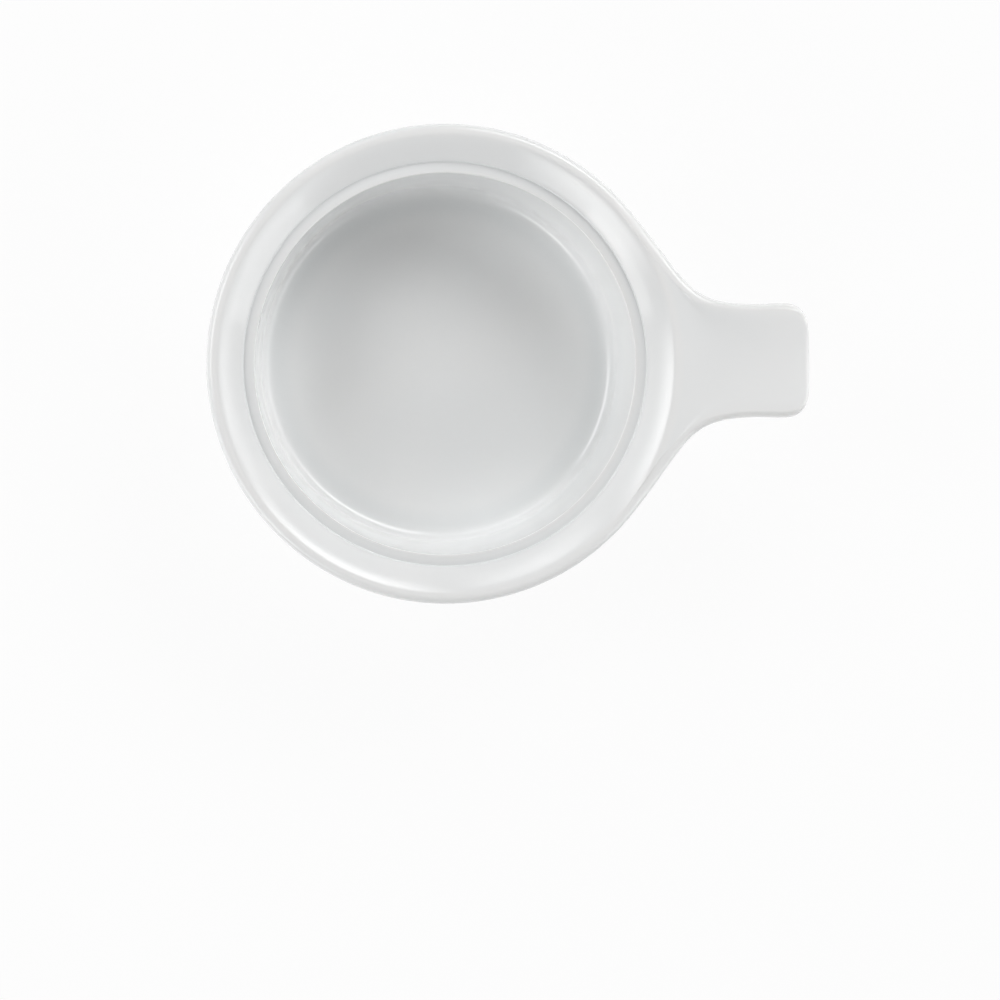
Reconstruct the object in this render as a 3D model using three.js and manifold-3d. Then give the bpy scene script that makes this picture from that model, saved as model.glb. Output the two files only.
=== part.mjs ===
// Handled casserole dish: a round glazed china bowl with a flared rim, a step inside the rim for a lid,
// one solid tab handle and a bare foot ring. Millimetres, +Z up. The origin lies on the bowl's axis, in
// the plane that the dish stands on, and the handle points along +X.
import * as THREE from 'three';
import { mergeVertices } from 'three/addons/utils/BufferGeometryUtils.js';
import Module from 'manifold-3d';

const wasm = await Module();
wasm.setup();

// Bowl, outside
const WAIST_DIAMETER = 128.8; // the wall at its narrowest
const BELLY_SWELL = 0.8; // how far the wall stands out below the waist
const BASE_CORNER_RADIUS = 8;
const RIM_HEIGHT = 45; // top of the lip above the table
const RIM_OVERHANG = 10.6; // from the waist out to the edge of the lip
const LIP_RADIUS = 2.4;
const FLARE_SLOPE = 50; // degrees, where the flare meets the lip
const FLARE_RUN = 5; // height over which the flare starts to turn outwards

// Bowl, inside
const WALL_THICKNESS = 4.6; // at the ledge
const WALL_LEAN = 7; // degrees from upright, so that the bowl narrows towards its floor
const FLOOR_THICKNESS = 5;
const FLOOR_FILLET = 4.5;
const LEDGE_DEPTH = 7; // lid ledge below the top of the lip
const LEDGE_WIDTH = 3.6;
const LEDGE_EDGE_RADIUS = 0.8;
const RISER_HEIGHT = 0.8; // upright step at the outside of the ledge
const LIP_INNER_SLOPE = 12; // degrees, where the rim's inner slope meets the lip
const LIP_INNER_EASE = 2; // from the lip in to where that slope would turn down to the riser

// Foot ring
const FOOT_HEIGHT = 1;
const FOOT_WIDTH = 5.5;
const FOOT_INSET = 1.7; // from the edge of the flat base in to the ring
const FOOT_EDGE_CHAMFER = 0.4;

// Handle
const HANDLE_LENGTH = 38.5; // from the edge of the lip to the tip
const HANDLE_WIDTH = 35.2; // at the neck, its narrowest
const GRIP_LENGTH = 17.5; // from the neck to the tip
const TIP_WIDTH = 36.2;
const TIP_CORNER_RADIUS = 7;
const TIP_EDGE_RADIUS = 4;
const TIP_END_THICKNESS = 2; // flat left between the rounded edges of the end
const TIP_RISE = 7; // side edges at the tip above the top of the lip
const HANDLE_DROP = 3.4; // underside below the top of the lip, from the neck out
const ROOT_DROP = 5.6; // the same where the handle leaves the rim
const RISE_SETBACK = 17; // from the edge of the lip in to where the edges start to rise
const THUMB_DISH_DEPTH = 2.6;
const EDGE_SQUARENESS = 5; // power of the rounded section
const FAIRING_ANGLE = 40; // degrees from the handle, where its outline leaves the rim
const FAIRING_ROOT_PULL = 29;
const FAIRING_NECK_PULL = 22;

// Slip joint between the handle's root and the bowl
const SLIP_GAP = 0.3;

// Smoothness
const TURN_SEGMENTS = 72;
const ARC_STEPS = 4;
const FAIRING_RINGS = 12;
const SECTION_POINTS = 28;
const WELD_DISTANCE = 1e-4;

// Heights and radii that follow from the sizes above
const waistRadius = WAIST_DIAMETER / 2;
const bellyRadius = waistRadius + BELLY_SWELL;
const bellyHeight = FOOT_HEIGHT + BASE_CORNER_RADIUS;
const rimRadius = waistRadius + RIM_OVERHANG;
const baseFlatRadius = bellyRadius - BASE_CORNER_RADIUS;
const footOuter = baseFlatRadius - FOOT_INSET;
const footInner = footOuter - FOOT_WIDTH;
const lip = new THREE.Vector2(rimRadius - LIP_RADIUS, RIM_HEIGHT - LIP_RADIUS);
const innerRadius = waistRadius - WALL_THICKNESS;
const ledgeHeight = RIM_HEIGHT - LEDGE_DEPTH;
const ledgeRadius = innerRadius + LEDGE_WIDTH;
const floorHeight = FOOT_HEIGHT + FLOOR_THICKNESS;
const tipX = rimRadius + HANDLE_LENGTH;
const neckX = tipX - GRIP_LENGTH;

const radians = THREE.MathUtils.degToRad;

// A point on the rounded lip, by the direction from the lip's centre.
function onLip(degrees) {
  const angle = radians(degrees);
  return new THREE.Vector2(Math.cos(angle), Math.sin(angle)).multiplyScalar(LIP_RADIUS).add(lip);
}

// The outside of the bowl, from the edge of its flat base up to the underside of the lip.
function drawOutside(path) {
  const flareEnd = onLip(FLARE_SLOPE - 90);
  const flareTurn = flareEnd.y - (flareEnd.x - waistRadius) * Math.tan(radians(FLARE_SLOPE));
  const waistHeight = flareTurn - FLARE_RUN;
  const bellyTurn = (bellyHeight + waistHeight) / 2;
  path.lineTo(baseFlatRadius, FOOT_HEIGHT);
  path.absarc(baseFlatRadius, bellyHeight, BASE_CORNER_RADIUS, -Math.PI / 2, 0, false);
  path.bezierCurveTo(bellyRadius, bellyTurn, waistRadius, bellyTurn, waistRadius, waistHeight);
  path.quadraticCurveTo(waistRadius, flareTurn, flareEnd.x, flareEnd.y);
}

// The inside of the bowl, from the lip down the rim's slope and the ledge to the floor's middle.
function drawInside(path) {
  const slope = radians(LIP_INNER_SLOPE);
  const inwards = new THREE.Vector2(-Math.cos(slope), -Math.sin(slope));
  const turn = inwards.multiplyScalar(LIP_INNER_EASE).add(onLip(90 + LIP_INNER_SLOPE));
  const edgeHeight = ledgeHeight - LEDGE_EDGE_RADIUS;
  const lean = radians(WALL_LEAN);
  const filletHeight = floorHeight + FLOOR_FILLET;
  const wallRadius = innerRadius - (edgeHeight - filletHeight) * Math.tan(lean);
  const filletRadius = wallRadius - FLOOR_FILLET / Math.cos(lean);
  path.quadraticCurveTo(turn.x, turn.y, ledgeRadius, ledgeHeight + RISER_HEIGHT);
  path.lineTo(ledgeRadius, ledgeHeight);
  path.lineTo(innerRadius + LEDGE_EDGE_RADIUS, ledgeHeight);
  path.quadraticCurveTo(innerRadius, ledgeHeight, innerRadius, edgeHeight);
  path.absarc(filletRadius, filletHeight, FLOOR_FILLET, -lean, -Math.PI / 2, true);
  path.lineTo(0, floorHeight);
}

// A solid of revolution about Z from an outline of radius and height.
function turned(points) {
  const geometry = new THREE.LatheGeometry(points, TURN_SEGMENTS);
  return geometry.rotateX(Math.PI / 2);
}

// The bowl. Its flat underside inside the foot ring is a face of its own.
function bowlGeometry() {
  const outline = new THREE.Path();
  outline.moveTo(0, FOOT_HEIGHT);
  outline.lineTo(footInner - SLIP_GAP, FOOT_HEIGHT);
  drawOutside(outline);
  const underside = radians(FLARE_SLOPE - 90);
  outline.absarc(lip.x, lip.y, LIP_RADIUS, underside, radians(90 + LIP_INNER_SLOPE), false);
  drawInside(outline);
  return turned(outline.getPoints(ARC_STEPS));
}

function footRingGeometry() {
  const outline = new THREE.Path();
  outline.moveTo(footInner, FOOT_HEIGHT);
  outline.lineTo(footInner, FOOT_EDGE_CHAMFER);
  outline.lineTo(footInner + FOOT_EDGE_CHAMFER, 0);
  outline.lineTo(footOuter - FOOT_EDGE_CHAMFER, 0);
  outline.lineTo(footOuter, FOOT_EDGE_CHAMFER);
  outline.lineTo(footOuter, FOOT_HEIGHT);
  outline.lineTo(footInner, FOOT_HEIGHT);
  return turned(outline.getPoints(ARC_STEPS));
}

// The room that the handle's root leaves for the bowl: its outside, grown by the slip joint, and
// everything above it inside the lip.
function rootClearanceGeometry() {
  const outline = new THREE.Path();
  outline.moveTo(0, FOOT_HEIGHT);
  drawOutside(outline);
  outline.absarc(lip.x, lip.y, LIP_RADIUS, radians(FLARE_SLOPE - 90), Math.PI / 2, false);
  const skin = outline.getPoints(ARC_STEPS);
  const grown = skin.map((point, i) => {
    const before = skin[Math.max(i - 1, 0)];
    const after = skin[Math.min(i + 1, skin.length - 1)];
    const along = after.clone().sub(before).normalize();
    return new THREE.Vector2(point.x + along.y * SLIP_GAP, point.y - along.x * SLIP_GAP);
  });
  const top = RIM_HEIGHT + TIP_RISE + ROOT_DROP;
  grown[0].x = 0;
  grown.push(new THREE.Vector2(lip.x, top), new THREE.Vector2(0, top));
  return turned(grown);
}

// The handle's half plan: from where it leaves the rim, along the fairing and the side, round the corner.
function handlePlan() {
  const leave = radians(FAIRING_ANGLE);
  const root = new THREE.Vector2(rimRadius * Math.cos(leave), rimRadius * Math.sin(leave));
  const neck = new THREE.Vector2(neckX, HANDLE_WIDTH / 2);
  const fairing = new THREE.CubicBezierCurve(
    root,
    new THREE.Vector2(Math.sin(leave), -Math.cos(leave)).multiplyScalar(FAIRING_ROOT_PULL).add(root),
    new THREE.Vector2(neck.x - FAIRING_NECK_PULL, neck.y),
    neck,
  );
  const corner = new THREE.Path();
  const cornerY = TIP_WIDTH / 2 - TIP_CORNER_RADIUS;
  corner.absarc(tipX - TIP_CORNER_RADIUS, cornerY, TIP_CORNER_RADIUS, Math.PI / 2, 0, true);
  return [...fairing.getPoints(FAIRING_RINGS), ...corner.getPoints(ARC_STEPS)];
}

// The handle's section at a distance x from the bowl's axis: the height of its middle, half its thickness
// at the side edges, and how far its top is hollowed between them.
function handleSection(x) {
  const { lerp, smoothstep } = THREE.MathUtils;
  const riseStart = rimRadius - RISE_SETBACK;
  const shoulder = tipX - TIP_CORNER_RADIUS;
  const edgeRise = TIP_RISE * smoothstep(x, riseStart, shoulder);
  const middleRise = TIP_RISE * smoothstep(x, lip.x, shoulder);
  const thumbDish = THUMB_DISH_DEPTH * smoothstep(x, lip.x, shoulder);
  const drop = lerp(ROOT_DROP, HANDLE_DROP, smoothstep(x, riseStart, neckX));
  const endReach = Math.max(x - (tipX - TIP_EDGE_RADIUS), 0) / TIP_EDGE_RADIUS;
  const rounding = Math.sqrt(Math.max(1 - endReach * endReach, 0));
  return {
    middle: RIM_HEIGHT + (edgeRise - drop) / 2,
    half: lerp(TIP_END_THICKNESS, edgeRise + drop, rounding) / 2,
    hollow: (edgeRise - middleRise + thumbDish) * rounding,
  };
}

// The handle before its root is cut: rounded sections joined along its length, closed at both ends.
function handleGeometry() {
  const plan = handlePlan();
  const positions = [];
  for (const { x, y } of plan) {
    const { middle, half, hollow } = handleSection(x);
    for (let k = 0; k < SECTION_POINTS; k++) {
      const turn = (2 * Math.PI * k) / SECTION_POINTS;
      const across = Math.sign(Math.cos(turn)) * Math.abs(Math.cos(turn)) ** (2 / EDGE_SQUARENESS);
      const up = Math.sign(Math.sin(turn)) * Math.abs(Math.sin(turn)) ** (2 / EDGE_SQUARENESS);
      const sink = hollow * Math.max(up, 0) * (1 - across * across);
      positions.push(x, y * across, middle + half * up - sink);
    }
  }
  const index = [];
  const last = (plan.length - 1) * SECTION_POINTS;
  for (let k = 0; k < SECTION_POINTS; k++) {
    const next = (k + 1) % SECTION_POINTS;
    for (let ring = 0; ring < last; ring += SECTION_POINTS) {
      const across = ring + SECTION_POINTS;
      index.push(ring + k, across + next, across + k, ring + k, ring + next, across + next);
    }
    if (k > 0 && next > 0) {
      index.push(0, next, k, last, last + k, last + next);
    }
  }
  const geometry = new THREE.BufferGeometry();
  geometry.setAttribute('position', new THREE.Float32BufferAttribute(positions, 3));
  geometry.setIndex(index);
  return geometry;
}

// A closed geometry as a solid that can be cut.
function solidOf(geometry) {
  const bare = geometry.clone();
  bare.deleteAttribute('normal');
  bare.deleteAttribute('uv');
  const merged = mergeVertices(bare, WELD_DISTANCE);
  const triVerts = new Uint32Array(merged.index.array);
  const vertProperties = new Float32Array(merged.attributes.position.array);
  return new wasm.Manifold(new wasm.Mesh({ numProp: 3, vertProperties, triVerts }));
}

function geometryOf(solid) {
  const mesh = solid.getMesh();
  const geometry = new THREE.BufferGeometry();
  geometry.setAttribute('position', new THREE.BufferAttribute(mesh.vertProperties, 3));
  geometry.setIndex(new THREE.BufferAttribute(mesh.triVerts, 1));
  return geometry;
}

const glaze = new THREE.MeshStandardMaterial({ color: 0xe9edee, roughness: 0.12, metalness: 0 });
const biscuit = new THREE.MeshStandardMaterial({ color: 0xded8cd, roughness: 0.8, metalness: 0 });

function piece(name, geometry, material) {
  const mesh = new THREE.Mesh(geometry, material.clone());
  mesh.name = name;
  return mesh;
}

const handle = solidOf(handleGeometry()).subtract(solidOf(rootClearanceGeometry()));

const dish = new THREE.Group();
dish.name = 'handled_casserole_dish';
dish.add(piece('bowl', bowlGeometry(), glaze));
dish.add(piece('handle', geometryOf(handle), glaze));
dish.add(piece('foot_ring', footRingGeometry(), biscuit));

export default dish;
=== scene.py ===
"""Handled casserole dish: the glazed china body with its handle in one skin, and the bare foot ring."""
from math import atan2, cos, hypot, pi, radians, sin, sqrt, tan

import bmesh
import bpy
from mathutils import Matrix, Vector


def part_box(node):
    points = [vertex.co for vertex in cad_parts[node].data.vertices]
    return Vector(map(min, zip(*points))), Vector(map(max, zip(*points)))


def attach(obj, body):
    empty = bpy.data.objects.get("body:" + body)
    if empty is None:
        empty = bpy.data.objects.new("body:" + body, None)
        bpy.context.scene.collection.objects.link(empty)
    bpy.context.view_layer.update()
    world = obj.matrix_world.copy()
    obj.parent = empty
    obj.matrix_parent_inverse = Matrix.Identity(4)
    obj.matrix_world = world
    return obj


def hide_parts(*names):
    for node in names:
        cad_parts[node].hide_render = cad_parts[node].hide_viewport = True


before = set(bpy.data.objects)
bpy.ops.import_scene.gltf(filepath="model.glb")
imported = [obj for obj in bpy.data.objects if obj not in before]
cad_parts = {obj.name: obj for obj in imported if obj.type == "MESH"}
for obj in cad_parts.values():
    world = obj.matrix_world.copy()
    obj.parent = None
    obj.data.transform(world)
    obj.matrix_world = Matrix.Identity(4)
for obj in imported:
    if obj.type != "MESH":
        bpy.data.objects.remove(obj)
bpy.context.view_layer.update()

MM = 0.001

# Sizes from the frame
bowl_low, bowl_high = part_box("bowl")
_, handle_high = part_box("handle")
ring_low, ring_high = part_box("foot_ring")
RIM_RADIUS = bowl_high.x
RIM_HEIGHT = bowl_high.z
BASE_HEIGHT = bowl_low.z
TIP_X = handle_high.x
RING_RADIUS = ring_high.x
TABLE_HEIGHT = ring_low.z

# Bowl, outside
WAIST_RADIUS = 64.4 * MM  # the wall at its narrowest
BELLY_RADIUS = 65.2 * MM  # where the wall stands out below the waist
BASE_CORNER = 8 * MM
LIP_RADIUS = 2.4 * MM
FLARE_SLOPE = 50  # degrees, where the flare meets the lip
FLARE_RUN = 5 * MM  # height over which the flare starts to turn outwards

# Bowl, inside
INNER_RADIUS = 59.8 * MM  # at the ledge
WALL_LEAN = 7  # degrees from upright
FLOOR_HEIGHT = 6 * MM
FLOOR_FILLET = 4.5 * MM
LEDGE_DEPTH = 7 * MM  # below the top of the lip
LEDGE_RADIUS = 63.4 * MM  # at the foot of its riser
RISER_HEIGHT = 0.8 * MM
LIP_INNER_SLOPE = 12  # degrees, where the rim's inner slope meets the lip
LIP_INNER_EASE = 2 * MM  # from the lip in to where that slope would turn down to the riser
GLAZE_EASE = 0.6 * MM  # how far the glaze softens the ledge's corners

# Foot ring
RING_WIDTH = 5.5 * MM
RING_EDGE = 0.4 * MM

# Handle
HANDLE_HALF_WIDTH = 17.6 * MM  # at the neck, its narrowest
GRIP_LENGTH = 17.5 * MM  # from the neck to the tip
TIP_HALF_WIDTH = 18.1 * MM
TIP_CORNER = 7 * MM  # in plan
TIP_EDGE = 4 * MM  # rounding of the end, seen from the side
TIP_END_THICKNESS = 2 * MM  # flat left between the rounded edges of the end
TIP_RISE = 7 * MM  # side edges at the tip above the top of the lip
HANDLE_DROP = 3.4 * MM  # underside below the top of the lip, from the neck out
ROOT_DROP = 5.6 * MM  # the same where the handle leaves the rim
RISE_SETBACK = 17 * MM  # from the edge of the lip in to where the edges start to rise
THUMB_DISH = 2.6 * MM
EDGE_SQUARENESS = 5  # power of the rounded section
TOP_REACH = 0.93  # where the section's top turns into its side, as a share of the half width
FAIRING_ANGLE = 40  # degrees from the handle, where its outline leaves the rim
FAIRING_ROOT_PULL = 29 * MM
FAIRING_NECK_PULL = 22 * MM

# Colours of the glaze and of the bare china
GLAZE_WHITE = (0.888, 0.893, 0.891, 1)
GLAZE_CLOUD = (0.868, 0.878, 0.879, 1)
# darker where the glaze pools, and painted shade in the ledge's corner, the floor's fillet and beside
# the foot ring
GLAZE_POOLED_SHADE = (0.79, 0.81, 0.815, 1)
# lighter where the glaze runs thin, and a painted highlight on the lip, the ledge's edge and the
# handle's top edges
GLAZE_THIN_HIGHLIGHT = (0.905, 0.9, 0.888, 1)
PINHOLE = (0.5, 0.47, 0.43, 1)
CHINA_PALE = (0.76, 0.73, 0.67, 1)
CHINA_WARM = (0.7, 0.65, 0.57, 1)
CHINA_RUBBED = (0.55, 0.53, 0.5, 1)
CHINA_GRIT = (0.45, 0.41, 0.36, 1)

# Finish of the glaze, with the painted shade of its pools and the painted highlight where it is thin
# share of the pooled colour, which also paints shade into the ledge's corner, the floor's fillet and
# beside the foot ring
POOL_SHADE_SHARE = 0.55
POOL_SHADE_INSET = 1 * MM  # from the floor's fillet in to the middle of the pooled glaze and painted shade there
# share of the thin colour, which also paints a highlight on the lip, the ledge's edge and the handle's
# top edges
THIN_HIGHLIGHT_SHARE = 0.5
THIN_HIGHLIGHT_ROW = 0.5  # where the thinner glaze and its painted highlight start, up the handle's edge and across it
THIN_HIGHLIGHT_COLUMN = 0.8
PINHOLE_SHARE = 0.45
GLAZE_ROUGHNESS = 0.1
HAZE_ROUGHNESS = 0.05  # added where the glaze is hazy
WAVE_HEIGHT = 0.05 * MM
GRAIN_SHARE = 0.015  # height of the fine grain, as a share of the waves

# Finish of the bare china
RUBBED_SHARE = 0.3
GRIT_SHARE = 0.5
CHINA_ROUGHNESS = 0.65
CHINA_GRAIN_ROUGHNESS = 0.25  # added where the grain stands up
CHINA_GRAIN_HEIGHT = 0.04 * MM
CHINA_GRAIN_STRENGTH = 0.6

# Patterns
PATCH_LOW = 0.3  # noise levels between which a patch fades in
PATCH_HIGH = 0.7
BROKEN = 3  # noise detail of patches with uneven edges
SMOOTH = 0
BARE_CELLS = 0.7  # share of the cells that hold no speck

# Mesh
SEGMENTS = 72
CORNER_STEPS = 4
BELLY_STEPS = 3
FLARE_STEPS = 4
LIP_STEPS = 6
SLOPE_STEPS = 6
WALL_STEPS = 4
FILLET_STEPS = 4
FAIRING_LOOPS = 8
TIP_ANGLES = (60, 30, 0)  # degrees round the tip's corner, one for each loop
LAST_BOW = 0.3 * MM
SMOOTH_LEVELS = 2
RING_EDGE_STEPS = 3
SHARP_ANGLE = 30
WELD_DISTANCE = 0.001 * MM

# Camera above the dish, with its distances in metres and its turns in degrees
FRAME_PIXELS = 1000
PIXEL_SIZE = 0.3125 * MM  # at the rim
CAMERA_DISTANCE = 2.4
CAMERA_LEAN = 3.9
CAMERA_ROLL = 0.6
CAMERA_AIM = Vector((16.4, -42.75, 0)) * MM  # middle of the frame, from the rim's middle
SENSOR_WIDTH = 36

# Studio, in metres
FLOOR_SIZE = 12
FLOOR_COLOUR = (0.9, 0.9, 0.9, 1)
FLOOR_WHITE_SHARE = 0.92  # how much of the floor's own shade gives way to white where it is seen
AMBIENT = 0.02
LAMP_DISTANCE = 1.3
LAMP_AIM_HEIGHT = 30 * MM

# Lamps: name, azimuth and elevation in degrees, width and height in metres, radiance
SOFT_LAMPS = (
    ("back_softbox", 56, 36, 1.2, 0.7, 6.8),
    ("left_softbox", 164, 36, 1.1, 0.7, 5.6),
    ("far_softbox", 110, 26, 1, 0.5, 3.2),
    ("right_softbox", 8, 24, 1.3, 0.6, 3.3),
    ("front_left_softbox", 230, 26, 1.1, 0.7, 4.8),
    ("front_right_softbox", 325, 26, 1, 0.6, 2.8),
)
EVEN_LAMPS = (
    ("low_left_softbox", 211, 10, 0.8, 0.5, 2.2),
    ("low_right_softbox", 331, 10, 0.8, 0.5, 2.2),
)

# Places that follow from the sizes above
LIP = Vector((RIM_RADIUS - LIP_RADIUS, RIM_HEIGHT - LIP_RADIUS))
LIP_FROM = FLARE_SLOPE - 90
LIP_TO = 90 + LIP_INNER_SLOPE
LEDGE_HEIGHT = RIM_HEIGHT - LEDGE_DEPTH
FILLET_HEIGHT = FLOOR_HEIGHT + FLOOR_FILLET
WALL_RADIUS = INNER_RADIUS - (LEDGE_HEIGHT - FILLET_HEIGHT) * tan(radians(WALL_LEAN))
FILLET = Vector((WALL_RADIUS - FLOOR_FILLET / cos(radians(WALL_LEAN)), FILLET_HEIGHT))
NECK_X = TIP_X - GRIP_LENGTH
SHOULDER_X = TIP_X - TIP_CORNER
SHOULDER_BOW = TIP_CORNER / 4


def smooth_gain(step):
    """How far outside a circle its control points lie, step radians apart, for a smoothed loop on it."""
    return 3 / (2 + cos(step))


def arc(centre, radius, start, end, steps):
    """Control points on an arc, from start to end degrees."""
    step = radians(end - start) / steps
    reach = radius * smooth_gain(step)
    angles = [radians(start) + step * i for i in range(steps + 1)]
    return [Vector((centre[0] + reach * cos(a), centre[1] + reach * sin(a))) for a in angles]


def bezier(points, steps):
    """Points on a Bezier curve, without its first one."""
    found = []
    for i in range(1, steps + 1):
        level = [Vector(p) for p in points]
        while len(level) > 1:
            level = [a.lerp(b, i / steps) for a, b in zip(level, level[1:])]
        found.append(level[0])
    return found


def eased(before, corner, after):
    """A corner softened by the glaze: the corner and a point to each side of it."""
    to_before = (before - corner).normalized() * GLAZE_EASE
    to_after = (after - corner).normalized() * GLAZE_EASE
    return [corner + to_before, corner, corner + to_after]


def smoothstep(low, high, x):
    """0 up to low, 1 from high on, and a smooth rise between them."""
    share = min(max((x - low) / (high - low), 0), 1)
    return share * share * (3 - 2 * share)


def lerp(a, b, share):
    """The value at a share of the way from a to b."""
    return a + (b - a) * share


def on_lip(degrees):
    """A point on the rounded lip, by the direction from the lip's centre."""
    return LIP + LIP_RADIUS * Vector((cos(radians(degrees)), sin(radians(degrees))))


def dish_outline():
    """Radius and height of each ring of the dish, from the underside round the lip to the floor."""
    flat = BELLY_RADIUS - BASE_CORNER
    belly_height = BASE_HEIGHT + BASE_CORNER
    flare_end = on_lip(LIP_FROM)
    flare_turn = flare_end.y - (flare_end.x - WAIST_RADIUS) * tan(radians(FLARE_SLOPE))
    waist_height = flare_turn - FLARE_RUN
    belly_turn = (belly_height + waist_height) / 2
    slope_top = on_lip(LIP_TO)
    inwards = Vector((-cos(radians(LIP_INNER_SLOPE)), -sin(radians(LIP_INNER_SLOPE))))
    slope_turn = slope_top + inwards * LIP_INNER_EASE
    riser_top = Vector((LEDGE_RADIUS, LEDGE_HEIGHT + RISER_HEIGHT))
    riser_foot = Vector((LEDGE_RADIUS, LEDGE_HEIGHT))
    ledge_edge = Vector((INNER_RADIUS, LEDGE_HEIGHT))
    lean = radians(WALL_LEAN)
    wall_foot = FILLET + FLOOR_FILLET * Vector((cos(lean), -sin(lean)))
    rings = [Vector((flat - BASE_CORNER, BASE_HEIGHT))]
    rings += arc((flat, belly_height), BASE_CORNER, -90, 0, CORNER_STEPS)
    rings += bezier(
        [(BELLY_RADIUS, belly_height), (BELLY_RADIUS, belly_turn),
         (WAIST_RADIUS, belly_turn), (WAIST_RADIUS, waist_height)], BELLY_STEPS)
    rings += bezier(
        [(WAIST_RADIUS, waist_height), (WAIST_RADIUS, flare_turn), flare_end], FLARE_STEPS)[:-1]
    rings += arc(LIP, LIP_RADIUS, LIP_FROM, LIP_TO, LIP_STEPS)
    rings += bezier([slope_top, slope_turn, riser_top], SLOPE_STEPS)
    rings += eased(riser_top, riser_foot, ledge_edge)
    rings += eased(riser_foot, ledge_edge, wall_foot)
    rings += bezier([ledge_edge, wall_foot], WALL_STEPS)[:-1]
    rings += arc(FILLET, FLOOR_FILLET, -WALL_LEAN, -90, FILLET_STEPS)
    rings.append(Vector((FILLET.x - FLOOR_FILLET, FLOOR_HEIGHT)))
    return rings


def start_disc(name, ring):
    """A flat disc in edit mode with its edge selected, as the start of a turned piece."""
    bpy.ops.object.select_all(action="DESELECT")
    bpy.ops.mesh.primitive_circle_add(
        vertices=SEGMENTS, radius=ring.x, fill_type="NGON", location=(0, 0, ring.y))
    piece = bpy.context.active_object
    piece.name = name
    piece.data.name = name
    bpy.ops.object.transform_apply(location=True, rotation=True, scale=True)
    bpy.ops.object.mode_set(mode="EDIT")
    bpy.ops.mesh.select_mode(type="EDGE")
    bpy.ops.mesh.select_all(action="SELECT")
    bpy.ops.mesh.region_to_loop()
    return piece


def pull_rings(rings):
    """Extrudes the selected loop from ring to ring."""
    for last, ring in zip(rings, rings[1:]):
        bpy.ops.mesh.extrude_edges_move(
            TRANSFORM_OT_translate={"value": (0, 0, ring.y - last.y)})
        share = ring.x / last.x
        bpy.ops.transform.resize(value=(share, share, 1), center_override=(0, 0, ring.y))


def close_mesh():
    """Merges doubles and turns the faces out, then leaves edit mode."""
    bpy.ops.mesh.select_all(action="SELECT")
    bpy.ops.mesh.remove_doubles(threshold=WELD_DISTANCE)
    bpy.ops.mesh.normals_make_consistent(inside=False)
    bpy.ops.object.mode_set(mode="OBJECT")


def fairing_points():
    """The handle's side in plan: where it leaves the rim, and its points from there to the neck."""
    leave = radians(FAIRING_ANGLE)
    root = Vector((cos(leave), sin(leave))) * RIM_RADIUS
    neck = Vector((NECK_X, HANDLE_HALF_WIDTH))
    root_pull = root + Vector((sin(leave), -cos(leave))) * FAIRING_ROOT_PULL
    neck_pull = neck - Vector((FAIRING_NECK_PULL, 0))
    return root, bezier([root, root_pull, neck_pull, neck], FAIRING_LOOPS)


def handle_loops():
    """Reach on the centre line, bow and half width of each loop of the handle, from rim to tip."""
    root, sides = fairing_points()
    shoulder = Vector((SHOULDER_X, TIP_HALF_WIDTH))
    sides += [sides[-1].lerp(shoulder, 0.5), shoulder]
    first_bow = RIM_RADIUS - root.x
    loops = [(RIM_RADIUS, first_bow, root.y)]
    for i, side in enumerate(sides, start=1):
        bow = lerp(first_bow, SHOULDER_BOW, i / len(sides))
        loops.append((side.x + bow, bow, side.y))
    for degrees in TIP_ANGLES:
        x = SHOULDER_X + TIP_CORNER * cos(radians(degrees))
        y = TIP_HALF_WIDTH - TIP_CORNER + TIP_CORNER * sin(radians(degrees))
        bow = lerp(LAST_BOW, SHOULDER_BOW, sin(radians(degrees)))
        loops.append((min(x + bow, TIP_X), bow, y))
    return loops


def select_handle_root(piece):
    """Selects the faces on the outside of the lip between the two ends of the fairing."""
    bpy.ops.mesh.select_mode(type="FACE")
    bpy.ops.mesh.select_all(action="DESELECT")
    mesh = bmesh.from_edit_mesh(piece.data)
    low = on_lip(LIP_FROM).y
    for face in mesh.faces:
        x, y, z = face.calc_center_median()
        outside = hypot(x, y) > LIP.x and z > low
        face.select = outside and abs(atan2(y, x)) < radians(FAIRING_ANGLE)
    mesh.select_flush_mode()
    bmesh.update_edit_mesh(piece.data)


def pull_loop(last, loop):
    """Extrudes the selected faces of the handle in plan, from one loop to the next."""
    last_x, last_bow, last_width = last
    x, bow, width = loop
    bpy.ops.mesh.extrude_region_move(TRANSFORM_OT_translate={"value": (x - last_x, 0, 0)})
    bpy.ops.transform.resize(
        value=(bow / last_bow, width / last_width, 1), center_override=(x, 0, 0))


def mark_handle(piece, half_width):
    """Notes the row up the edge and the column across of each selected point, for the loops to come."""
    mesh = bmesh.from_edit_mesh(piece.data)
    row = mesh.verts.layers.float.new("row")
    column = mesh.verts.layers.float.new("column")
    made = mesh.verts.layers.int.new("handle")
    low = on_lip(LIP_FROM).y
    for vertex in mesh.verts:
        if vertex.select:
            vertex[row] = (vertex.co.z - low) / (RIM_HEIGHT - low)
            vertex[column] = vertex.co.y / half_width
            vertex[made] = 1
    bmesh.update_edit_mesh(piece.data)


def rounded(reach):
    """Height of the rounded section at a reach from its middle, both as shares of the half size."""
    return (1 - abs(reach) ** EDGE_SQUARENESS) ** (1 / EDGE_SQUARENESS)


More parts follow.
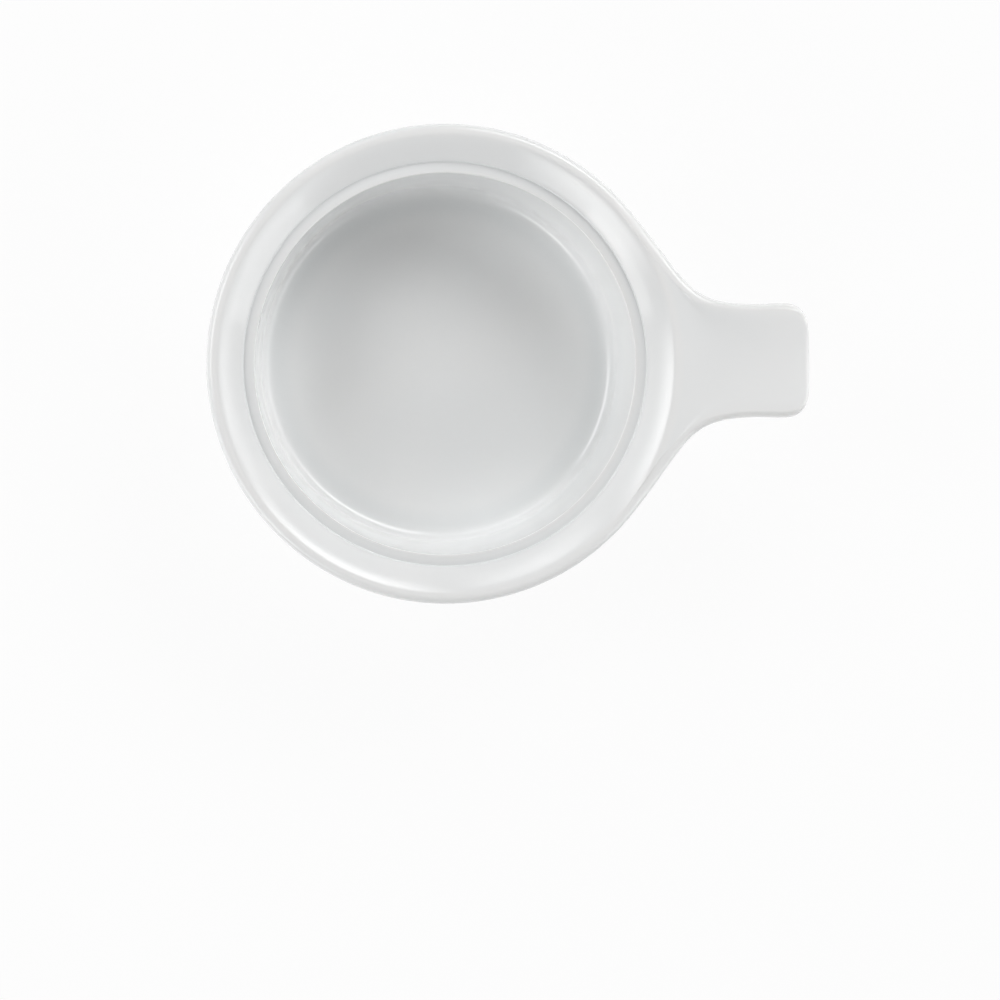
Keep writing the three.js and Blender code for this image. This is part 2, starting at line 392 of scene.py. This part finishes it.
def handle_point(place, row, column):
    """A point of the handle's skin, from its place in plan, its row up the edge and its column."""
    x, y, _ = place
    rise_start = RIM_RADIUS - RISE_SETBACK
    edge = TIP_RISE * smoothstep(rise_start, SHOULDER_X, x)
    middle = (TIP_RISE - THUMB_DISH) * smoothstep(LIP.x, SHOULDER_X, x)
    drop = lerp(ROOT_DROP, HANDLE_DROP, smoothstep(rise_start, NECK_X, x))
    end_reach = max(x - (TIP_X - TIP_EDGE), 0) / TIP_EDGE
    rounding = sqrt(max(1 - end_reach * end_reach, 0))
    centre = RIM_HEIGHT + (edge - drop) / 2
    half = lerp(TIP_END_THICKNESS, edge + drop, rounding) / 2
    across = abs(column) * TOP_REACH
    share = (2 * row - 1) * rounded(TOP_REACH)
    up = (2 * row - 1) * rounded(across)
    hollow = (edge - middle) * rounding * max(up, 0) * (1 - across * across)
    return Vector((x, y * rounded(share), centre + half * up - hollow))


def shape_handle(piece):
    """Gives the handle its heights, notes where its glaze runs thin, which also paints a highlight on
    its top edges, and drops the other notes.
    """
    mesh = bmesh.from_edit_mesh(piece.data)
    thin_and_highlight = mesh.verts.layers.float.new("thin_glaze_highlight")
    row = mesh.verts.layers.float["row"]
    column = mesh.verts.layers.float["column"]
    made = mesh.verts.layers.int["handle"]
    for vertex in mesh.verts:
        if vertex[made]:
            vertex.co = handle_point(vertex.co, vertex[row], vertex[column])
            # lighter along the top edges: thin glaze and a painted highlight
            thin_highlight_up = smoothstep(THIN_HIGHLIGHT_ROW, 1, vertex[row])
            vertex[thin_and_highlight] = thin_highlight_up * smoothstep(THIN_HIGHLIGHT_COLUMN, 1, abs(vertex[column]))
    mesh.verts.layers.float.remove(mesh.verts.layers.float["row"])
    mesh.verts.layers.float.remove(mesh.verts.layers.float["column"])
    mesh.verts.layers.int.remove(mesh.verts.layers.int["handle"])
    bmesh.update_edit_mesh(piece.data)


def pull_handle(piece):
    """Extrudes the handle out of the lip, loop by loop in plan, then gives it its heights."""
    loops = handle_loops()
    first_width = loops[1][2]
    select_handle_root(piece)
    pull_loop(loops[0], loops[1])
    mark_handle(piece, first_width)
    for last, loop in zip(loops[1:], loops[2:]):
        pull_loop(last, loop)
    shape_handle(piece)


def glazed_dish():
    """The bowl and its handle as one skin."""
    gain = smooth_gain(2 * pi / SEGMENTS)
    rings = [Vector((ring.x * gain, ring.y)) for ring in dish_outline()]
    piece = start_disc("glazed_dish", rings[0])
    pull_rings(rings)
    bpy.ops.mesh.edge_face_add()
    pull_handle(piece)
    close_mesh()
    smooth = piece.modifiers.new("smooth", "SUBSURF")
    smooth.levels = SMOOTH_LEVELS
    smooth.render_levels = SMOOTH_LEVELS
    bpy.ops.object.modifier_apply(modifier=smooth.name)
    bpy.ops.object.shade_smooth()
    return piece


def bare_foot_ring():
    """The ring that the dish stands on, ground flat, with eased edges."""
    inner = RING_RADIUS - RING_WIDTH
    rings = [
        Vector((inner, BASE_HEIGHT)), Vector((inner, TABLE_HEIGHT)),
        Vector((RING_RADIUS, TABLE_HEIGHT)), Vector((RING_RADIUS, BASE_HEIGHT))]
    piece = start_disc("bare_foot_ring", rings[0])
    bpy.ops.mesh.delete(type="ONLY_FACE")
    bpy.ops.mesh.select_all(action="SELECT")
    pull_rings(rings + rings[:1])
    close_mesh()
    eased_edge = piece.modifiers.new("eased_edge", "BEVEL")
    eased_edge.width = RING_EDGE
    eased_edge.segments = RING_EDGE_STEPS
    bpy.ops.object.modifier_apply(modifier=eased_edge.name)
    bpy.ops.object.shade_smooth_by_angle(angle=radians(SHARP_ANGLE))
    return piece


def node(tree, kind, inputs=None, **settings):
    """A new node with its settings, and its inputs linked to sockets or set to values."""
    made = tree.nodes.new(kind)
    for name, value in settings.items():
        setattr(made, name, value)
    for key, value in (inputs or {}).items():
        if isinstance(value, bpy.types.NodeSocket):
            tree.links.new(value, made.inputs[key])
        else:
            made.inputs[key].default_value = value
    return made


def maths(tree, operation, a, b):
    """The result of one operation on two values."""
    return node(tree, "ShaderNodeMath", {0: a, 1: b}, operation=operation).outputs[0]


def largest(tree, first, *others):
    """The largest of several masks."""
    for other in others:
        first = maths(tree, "MAXIMUM", first, other)
    return first


def blend(tree, mask_value, share, under, over):
    """One colour blended over another, up to a share where a mask is 1."""
    amount = maths(tree, "MULTIPLY", mask_value, share)
    made = node(tree, "ShaderNodeMixRGB", {"Fac": amount, "Color1": under, "Color2": over})
    return made.outputs["Color"]


def raised(tree, base, mask_value, more):
    """A base value, with more added where a mask is 1."""
    return maths(tree, "ADD", base, maths(tree, "MULTIPLY", mask_value, more))


def faded(tree, value, full, none):
    """1 where a value is at full, down to 0 where it is at none, with soft ends."""
    made = node(
        tree, "ShaderNodeMapRange",
        {"Value": value, "From Min": full, "From Max": none, "To Min": 1, "To Max": 0},
        interpolation_type="SMOOTHSTEP")
    return made.outputs["Result"]


def length(tree, vector):
    """The length of a vector."""
    return node(tree, "ShaderNodeVectorMath", {0: vector}, operation="LENGTH").outputs["Value"]


def object_place(tree):
    """The place on the piece, in metres from the origin."""
    return node(tree, "ShaderNodeTexCoord").outputs["Object"]


def mask_group(name, inputs):
    """A node group with number inputs and one mask output, with its input and output sockets."""
    group = bpy.data.node_groups.new(name, "ShaderNodeTree")
    for label in inputs:
        group.interface.new_socket(label, in_out="INPUT", socket_type="NodeSocketFloat")
    group.interface.new_socket("Mask", in_out="OUTPUT", socket_type="NodeSocketFloat")
    given = node(group, "NodeGroupInput").outputs
    result = node(group, "NodeGroupOutput").inputs["Mask"]
    return group, given, result


def mask(tree, group, **values):
    """The mask of a group, with its inputs set."""
    return node(tree, "ShaderNodeGroup", values, node_tree=group).outputs["Mask"]


def ring_group():
    """1 on a ring about the dish's axis, down to 0 at a reach from it."""
    tree, given, result = mask_group("ring", ["Radius", "Height", "Reach"])
    sides = node(tree, "ShaderNodeSeparateXYZ", {0: object_place(tree)}).outputs
    flat = node(tree, "ShaderNodeCombineXYZ", {"X": sides["X"], "Y": sides["Y"]}).outputs[0]
    out = maths(tree, "SUBTRACT", length(tree, flat), given["Radius"])
    up = maths(tree, "SUBTRACT", sides["Z"], given["Height"])
    offset = node(tree, "ShaderNodeCombineXYZ", {"X": out, "Y": up}).outputs[0]
    tree.links.new(faded(tree, length(tree, offset), 0, given["Reach"]), result)
    return tree


def mottle_group():
    """Soft patches of a size, between 0 and 1."""
    tree, given, result = mask_group("mottle", ["Size", "Detail"])
    scale = maths(tree, "DIVIDE", 1, given["Size"])
    noise = node(
        tree, "ShaderNodeTexNoise",
        {"Vector": object_place(tree), "Scale": scale, "Detail": given["Detail"]})
    tree.links.new(faded(tree, noise.outputs["Fac"], PATCH_HIGH, PATCH_LOW), result)
    return tree


def speck_group():
    """Round specks of a size, in a few of the cells that share out the surface."""
    tree, given, result = mask_group("specks", ["Spacing", "Size"])
    scale = maths(tree, "DIVIDE", 1, given["Spacing"])
    cells = node(
        tree, "ShaderNodeTexVoronoi", {"Vector": object_place(tree), "Scale": scale}).outputs
    reach = maths(tree, "DIVIDE", given["Size"], given["Spacing"])
    dot = faded(tree, cells["Distance"], 0, reach)
    pick = node(tree, "ShaderNodeSeparateColor", {0: cells["Color"]}).outputs[0]
    picked = maths(tree, "GREATER_THAN", pick, BARE_CELLS)
    tree.links.new(maths(tree, "MULTIPLY", dot, picked), result)
    return tree


def new_material(name):
    """A new material, its node tree and its shader's inputs."""
    material = bpy.data.materials.new(name)
    material.use_nodes = True
    tree = material.node_tree
    return material, tree, tree.nodes["Principled BSDF"].inputs


def add_relief(tree, shader, height, strength, distance):
    """Bumps the shader's surface by a height, up to a distance."""
    bump = node(
        tree, "ShaderNodeBump", {"Height": height, "Strength": strength, "Distance": distance})
    tree.links.new(bump.outputs["Normal"], shader["Normal"])


def white_glaze(ring, mottle, specks):
    """Clear gloss glaze on white china: cooler and darker where it pools, with painted shade in the
    ledge's corner, the floor's fillet and beside the foot ring; lighter and warmer where thin, with a
    painted highlight on the lip, the ledge's edge and the handle's top edges; faintly wavy.
    """
    material, tree, shader = new_material("white_glaze")
    # pooled glaze darkening, also painted shade in the ledge's corner, the floor's fillet and beside the
    # foot ring
    ledge_pool_shade = mask(tree, ring, Radius=LEDGE_RADIUS, Height=LEDGE_HEIGHT, Reach=2.2 * MM)
    floor_pool_shade = mask(tree, ring, Radius=FILLET.x - POOL_SHADE_INSET, Height=FLOOR_HEIGHT, Reach=6 * MM)
    foot_pool_shade = mask(tree, ring, Radius=RING_RADIUS, Height=BASE_HEIGHT, Reach=2.5 * MM)
    # thin glaze lightening, also a painted highlight on the lip, the ledge's edge and the handle's top
    # edges
    lip_thin_highlight = mask(tree, ring, Radius=LIP.x, Height=RIM_HEIGHT, Reach=2.6 * MM)
    ledge_thin_highlight = mask(tree, ring, Radius=INNER_RADIUS, Height=LEDGE_HEIGHT, Reach=1.4 * MM)
    edge_thin_highlight = node(tree, "ShaderNodeAttribute", attribute_name="thin_glaze_highlight").outputs["Fac"]
    clouds = mask(tree, mottle, Size=40 * MM, Detail=BROKEN)
    haze = mask(tree, mottle, Size=9 * MM, Detail=BROKEN)
    waves = mask(tree, mottle, Size=22 * MM, Detail=SMOOTH)
    grain = mask(tree, mottle, Size=1.5 * MM, Detail=BROKEN)
    pinholes = mask(tree, specks, Spacing=17 * MM, Size=0.22 * MM)
    colour = blend(tree, clouds, 1, GLAZE_WHITE, GLAZE_CLOUD)
    pooled_shade = largest(tree, ledge_pool_shade, floor_pool_shade, foot_pool_shade)
    colour = blend(tree, pooled_shade, POOL_SHADE_SHARE, colour, GLAZE_POOLED_SHADE)
    thin_and_highlight = largest(tree, lip_thin_highlight, ledge_thin_highlight, edge_thin_highlight)
    colour = blend(tree, thin_and_highlight, THIN_HIGHLIGHT_SHARE, colour, GLAZE_THIN_HIGHLIGHT)
    colour = blend(tree, pinholes, PINHOLE_SHARE, colour, PINHOLE)
    tree.links.new(colour, shader["Base Color"])
    tree.links.new(raised(tree, GLAZE_ROUGHNESS, haze, HAZE_ROUGHNESS), shader["Roughness"])
    add_relief(tree, shader, raised(tree, waves, grain, GRAIN_SHARE), 1, WAVE_HEIGHT)
    return material


def bare_china(mottle, specks):
    """Unglazed china, ground smooth: matt, warm, grainy, greyed where it has rubbed on tables."""
    material, tree, shader = new_material("bare_china")
    warm = mask(tree, mottle, Size=7 * MM, Detail=BROKEN)
    rubbed = mask(tree, mottle, Size=2.5 * MM, Detail=BROKEN)
    grain = mask(tree, mottle, Size=0.5 * MM, Detail=BROKEN)
    grit = mask(tree, specks, Spacing=1.6 * MM, Size=0.18 * MM)
    colour = blend(tree, warm, 1, CHINA_PALE, CHINA_WARM)
    colour = blend(tree, rubbed, RUBBED_SHARE, colour, CHINA_RUBBED)
    colour = blend(tree, grit, GRIT_SHARE, colour, CHINA_GRIT)
    tree.links.new(colour, shader["Base Color"])
    tree.links.new(
        raised(tree, CHINA_ROUGHNESS, grain, CHINA_GRAIN_ROUGHNESS), shader["Roughness"])
    add_relief(tree, shader, grain, CHINA_GRAIN_STRENGTH, CHINA_GRAIN_HEIGHT)
    return material


def camera_above():
    """The camera above the dish, a little to the side away from the handle."""
    lean = radians(CAMERA_LEAN)
    roll = radians(CAMERA_ROLL)
    rim_middle = Vector((0, 0, LIP.y))
    data = bpy.data.cameras.new("camera")
    data.sensor_width = SENSOR_WIDTH
    data.lens = SENSOR_WIDTH * CAMERA_DISTANCE / (FRAME_PIXELS * PIXEL_SIZE)
    camera = bpy.data.objects.new("camera", data)
    bpy.context.scene.collection.objects.link(camera)
    camera.location = rim_middle + CAMERA_DISTANCE * Vector((-sin(lean), 0, cos(lean)))
    ahead = (rim_middle + CAMERA_AIM - camera.location).normalized()
    right = ahead.cross(Vector((sin(roll), cos(roll), 0))).normalized()
    up = right.cross(ahead)
    camera.rotation_euler = Matrix((right, up, -ahead)).transposed().to_euler()
    bpy.context.scene.camera = camera


def softbox(name, azimuth, elevation, width, height, radiance):
    """An area lamp that faces the dish, by its azimuth and elevation from it."""
    data = bpy.data.lights.new(name, "AREA")
    data.shape = "RECTANGLE"
    data.size = width
    data.size_y = height
    data.energy = radiance * pi * width * height
    lamp = bpy.data.objects.new(name, data)
    bpy.context.scene.collection.objects.link(lamp)
    a = radians(azimuth)
    e = radians(elevation)
    away = Vector((cos(a) * cos(e), sin(a) * cos(e), sin(e)))
    lamp.location = Vector((0, 0, LAMP_AIM_HEIGHT)) + away * LAMP_DISTANCE
    lamp.rotation_euler = away.to_track_quat("Z", "Y").to_euler()
    return data


def soften_edges(data):
    """Makes a lamp as bright as it is set in its middle, down to nothing at its edges."""
    data.use_nodes = True
    tree = data.node_tree
    place = node(tree, "ShaderNodeNewGeometry").outputs["Parametric"]
    sides = node(tree, "ShaderNodeSeparateXYZ", {0: place}).outputs
    glow = 1
    for side in (sides["X"], sides["Y"]):
        hump = maths(tree, "MULTIPLY", side, maths(tree, "SUBTRACT", 1, side))
        glow = maths(tree, "MULTIPLY", glow, maths(tree, "MULTIPLY", hump, 4))
    tree.links.new(glow, tree.nodes["Emission"].inputs["Strength"])


def seen_ray(tree):
    """1 on what the camera sees, straight or mirrored in the glaze, and 0 on what lights the dish."""
    path = node(tree, "ShaderNodeLightPath").outputs
    return maths(tree, "MAXIMUM", path["Is Camera Ray"], path["Is Glossy Ray"])


def studio_floor():
    """A pale matt floor that is seen nearly white and keeps the dish's shadow."""
    bpy.ops.object.select_all(action="DESELECT")
    bpy.ops.mesh.primitive_plane_add(size=FLOOR_SIZE, location=(0, 0, TABLE_HEIGHT))
    floor = bpy.context.active_object
    floor.name = "studio_floor"
    material = bpy.data.materials.new("studio_floor")
    material.use_nodes = True
    tree = material.node_tree
    tree.nodes.clear()
    matt = node(tree, "ShaderNodeBsdfDiffuse", {"Color": FLOOR_COLOUR}).outputs[0]
    white = node(tree, "ShaderNodeEmission", {"Strength": 1}).outputs[0]
    share = maths(tree, "MULTIPLY", seen_ray(tree), FLOOR_WHITE_SHARE)
    mix = node(tree, "ShaderNodeMixShader", {0: share, 1: matt, 2: white}).outputs[0]
    node(tree, "ShaderNodeOutputMaterial", {"Surface": mix})
    floor.data.materials.append(material)


def studio_world():
    """White where the camera or the glaze sees it, and only a trace of light from all round."""
    world = bpy.data.worlds.new("studio")
    bpy.context.scene.world = world
    world.use_nodes = True
    tree = world.node_tree
    level = node(
        tree, "ShaderNodeMapRange", {"Value": seen_ray(tree), "To Min": AMBIENT, "To Max": 1})
    background = tree.nodes["Background"].inputs
    background["Color"].default_value = (1, 1, 1, 1)
    tree.links.new(level.outputs["Result"], background["Strength"])


ring = ring_group()
mottle = mottle_group()
specks = speck_group()

dish = glazed_dish()
dish.data.materials.append(white_glaze(ring, mottle, specks))
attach(dish, "root")
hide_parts("bowl", "handle")

foot_ring = bare_foot_ring()
foot_ring.data.materials.append(bare_china(mottle, specks))
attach(foot_ring, "root")
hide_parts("foot_ring")

camera_above()
studio_floor()
studio_world()
for lamp in SOFT_LAMPS:
    soften_edges(softbox(*lamp))
for lamp in EVEN_LAMPS:
    softbox(*lamp)

scene = bpy.context.scene
scene.view_settings.view_transform = "Standard"
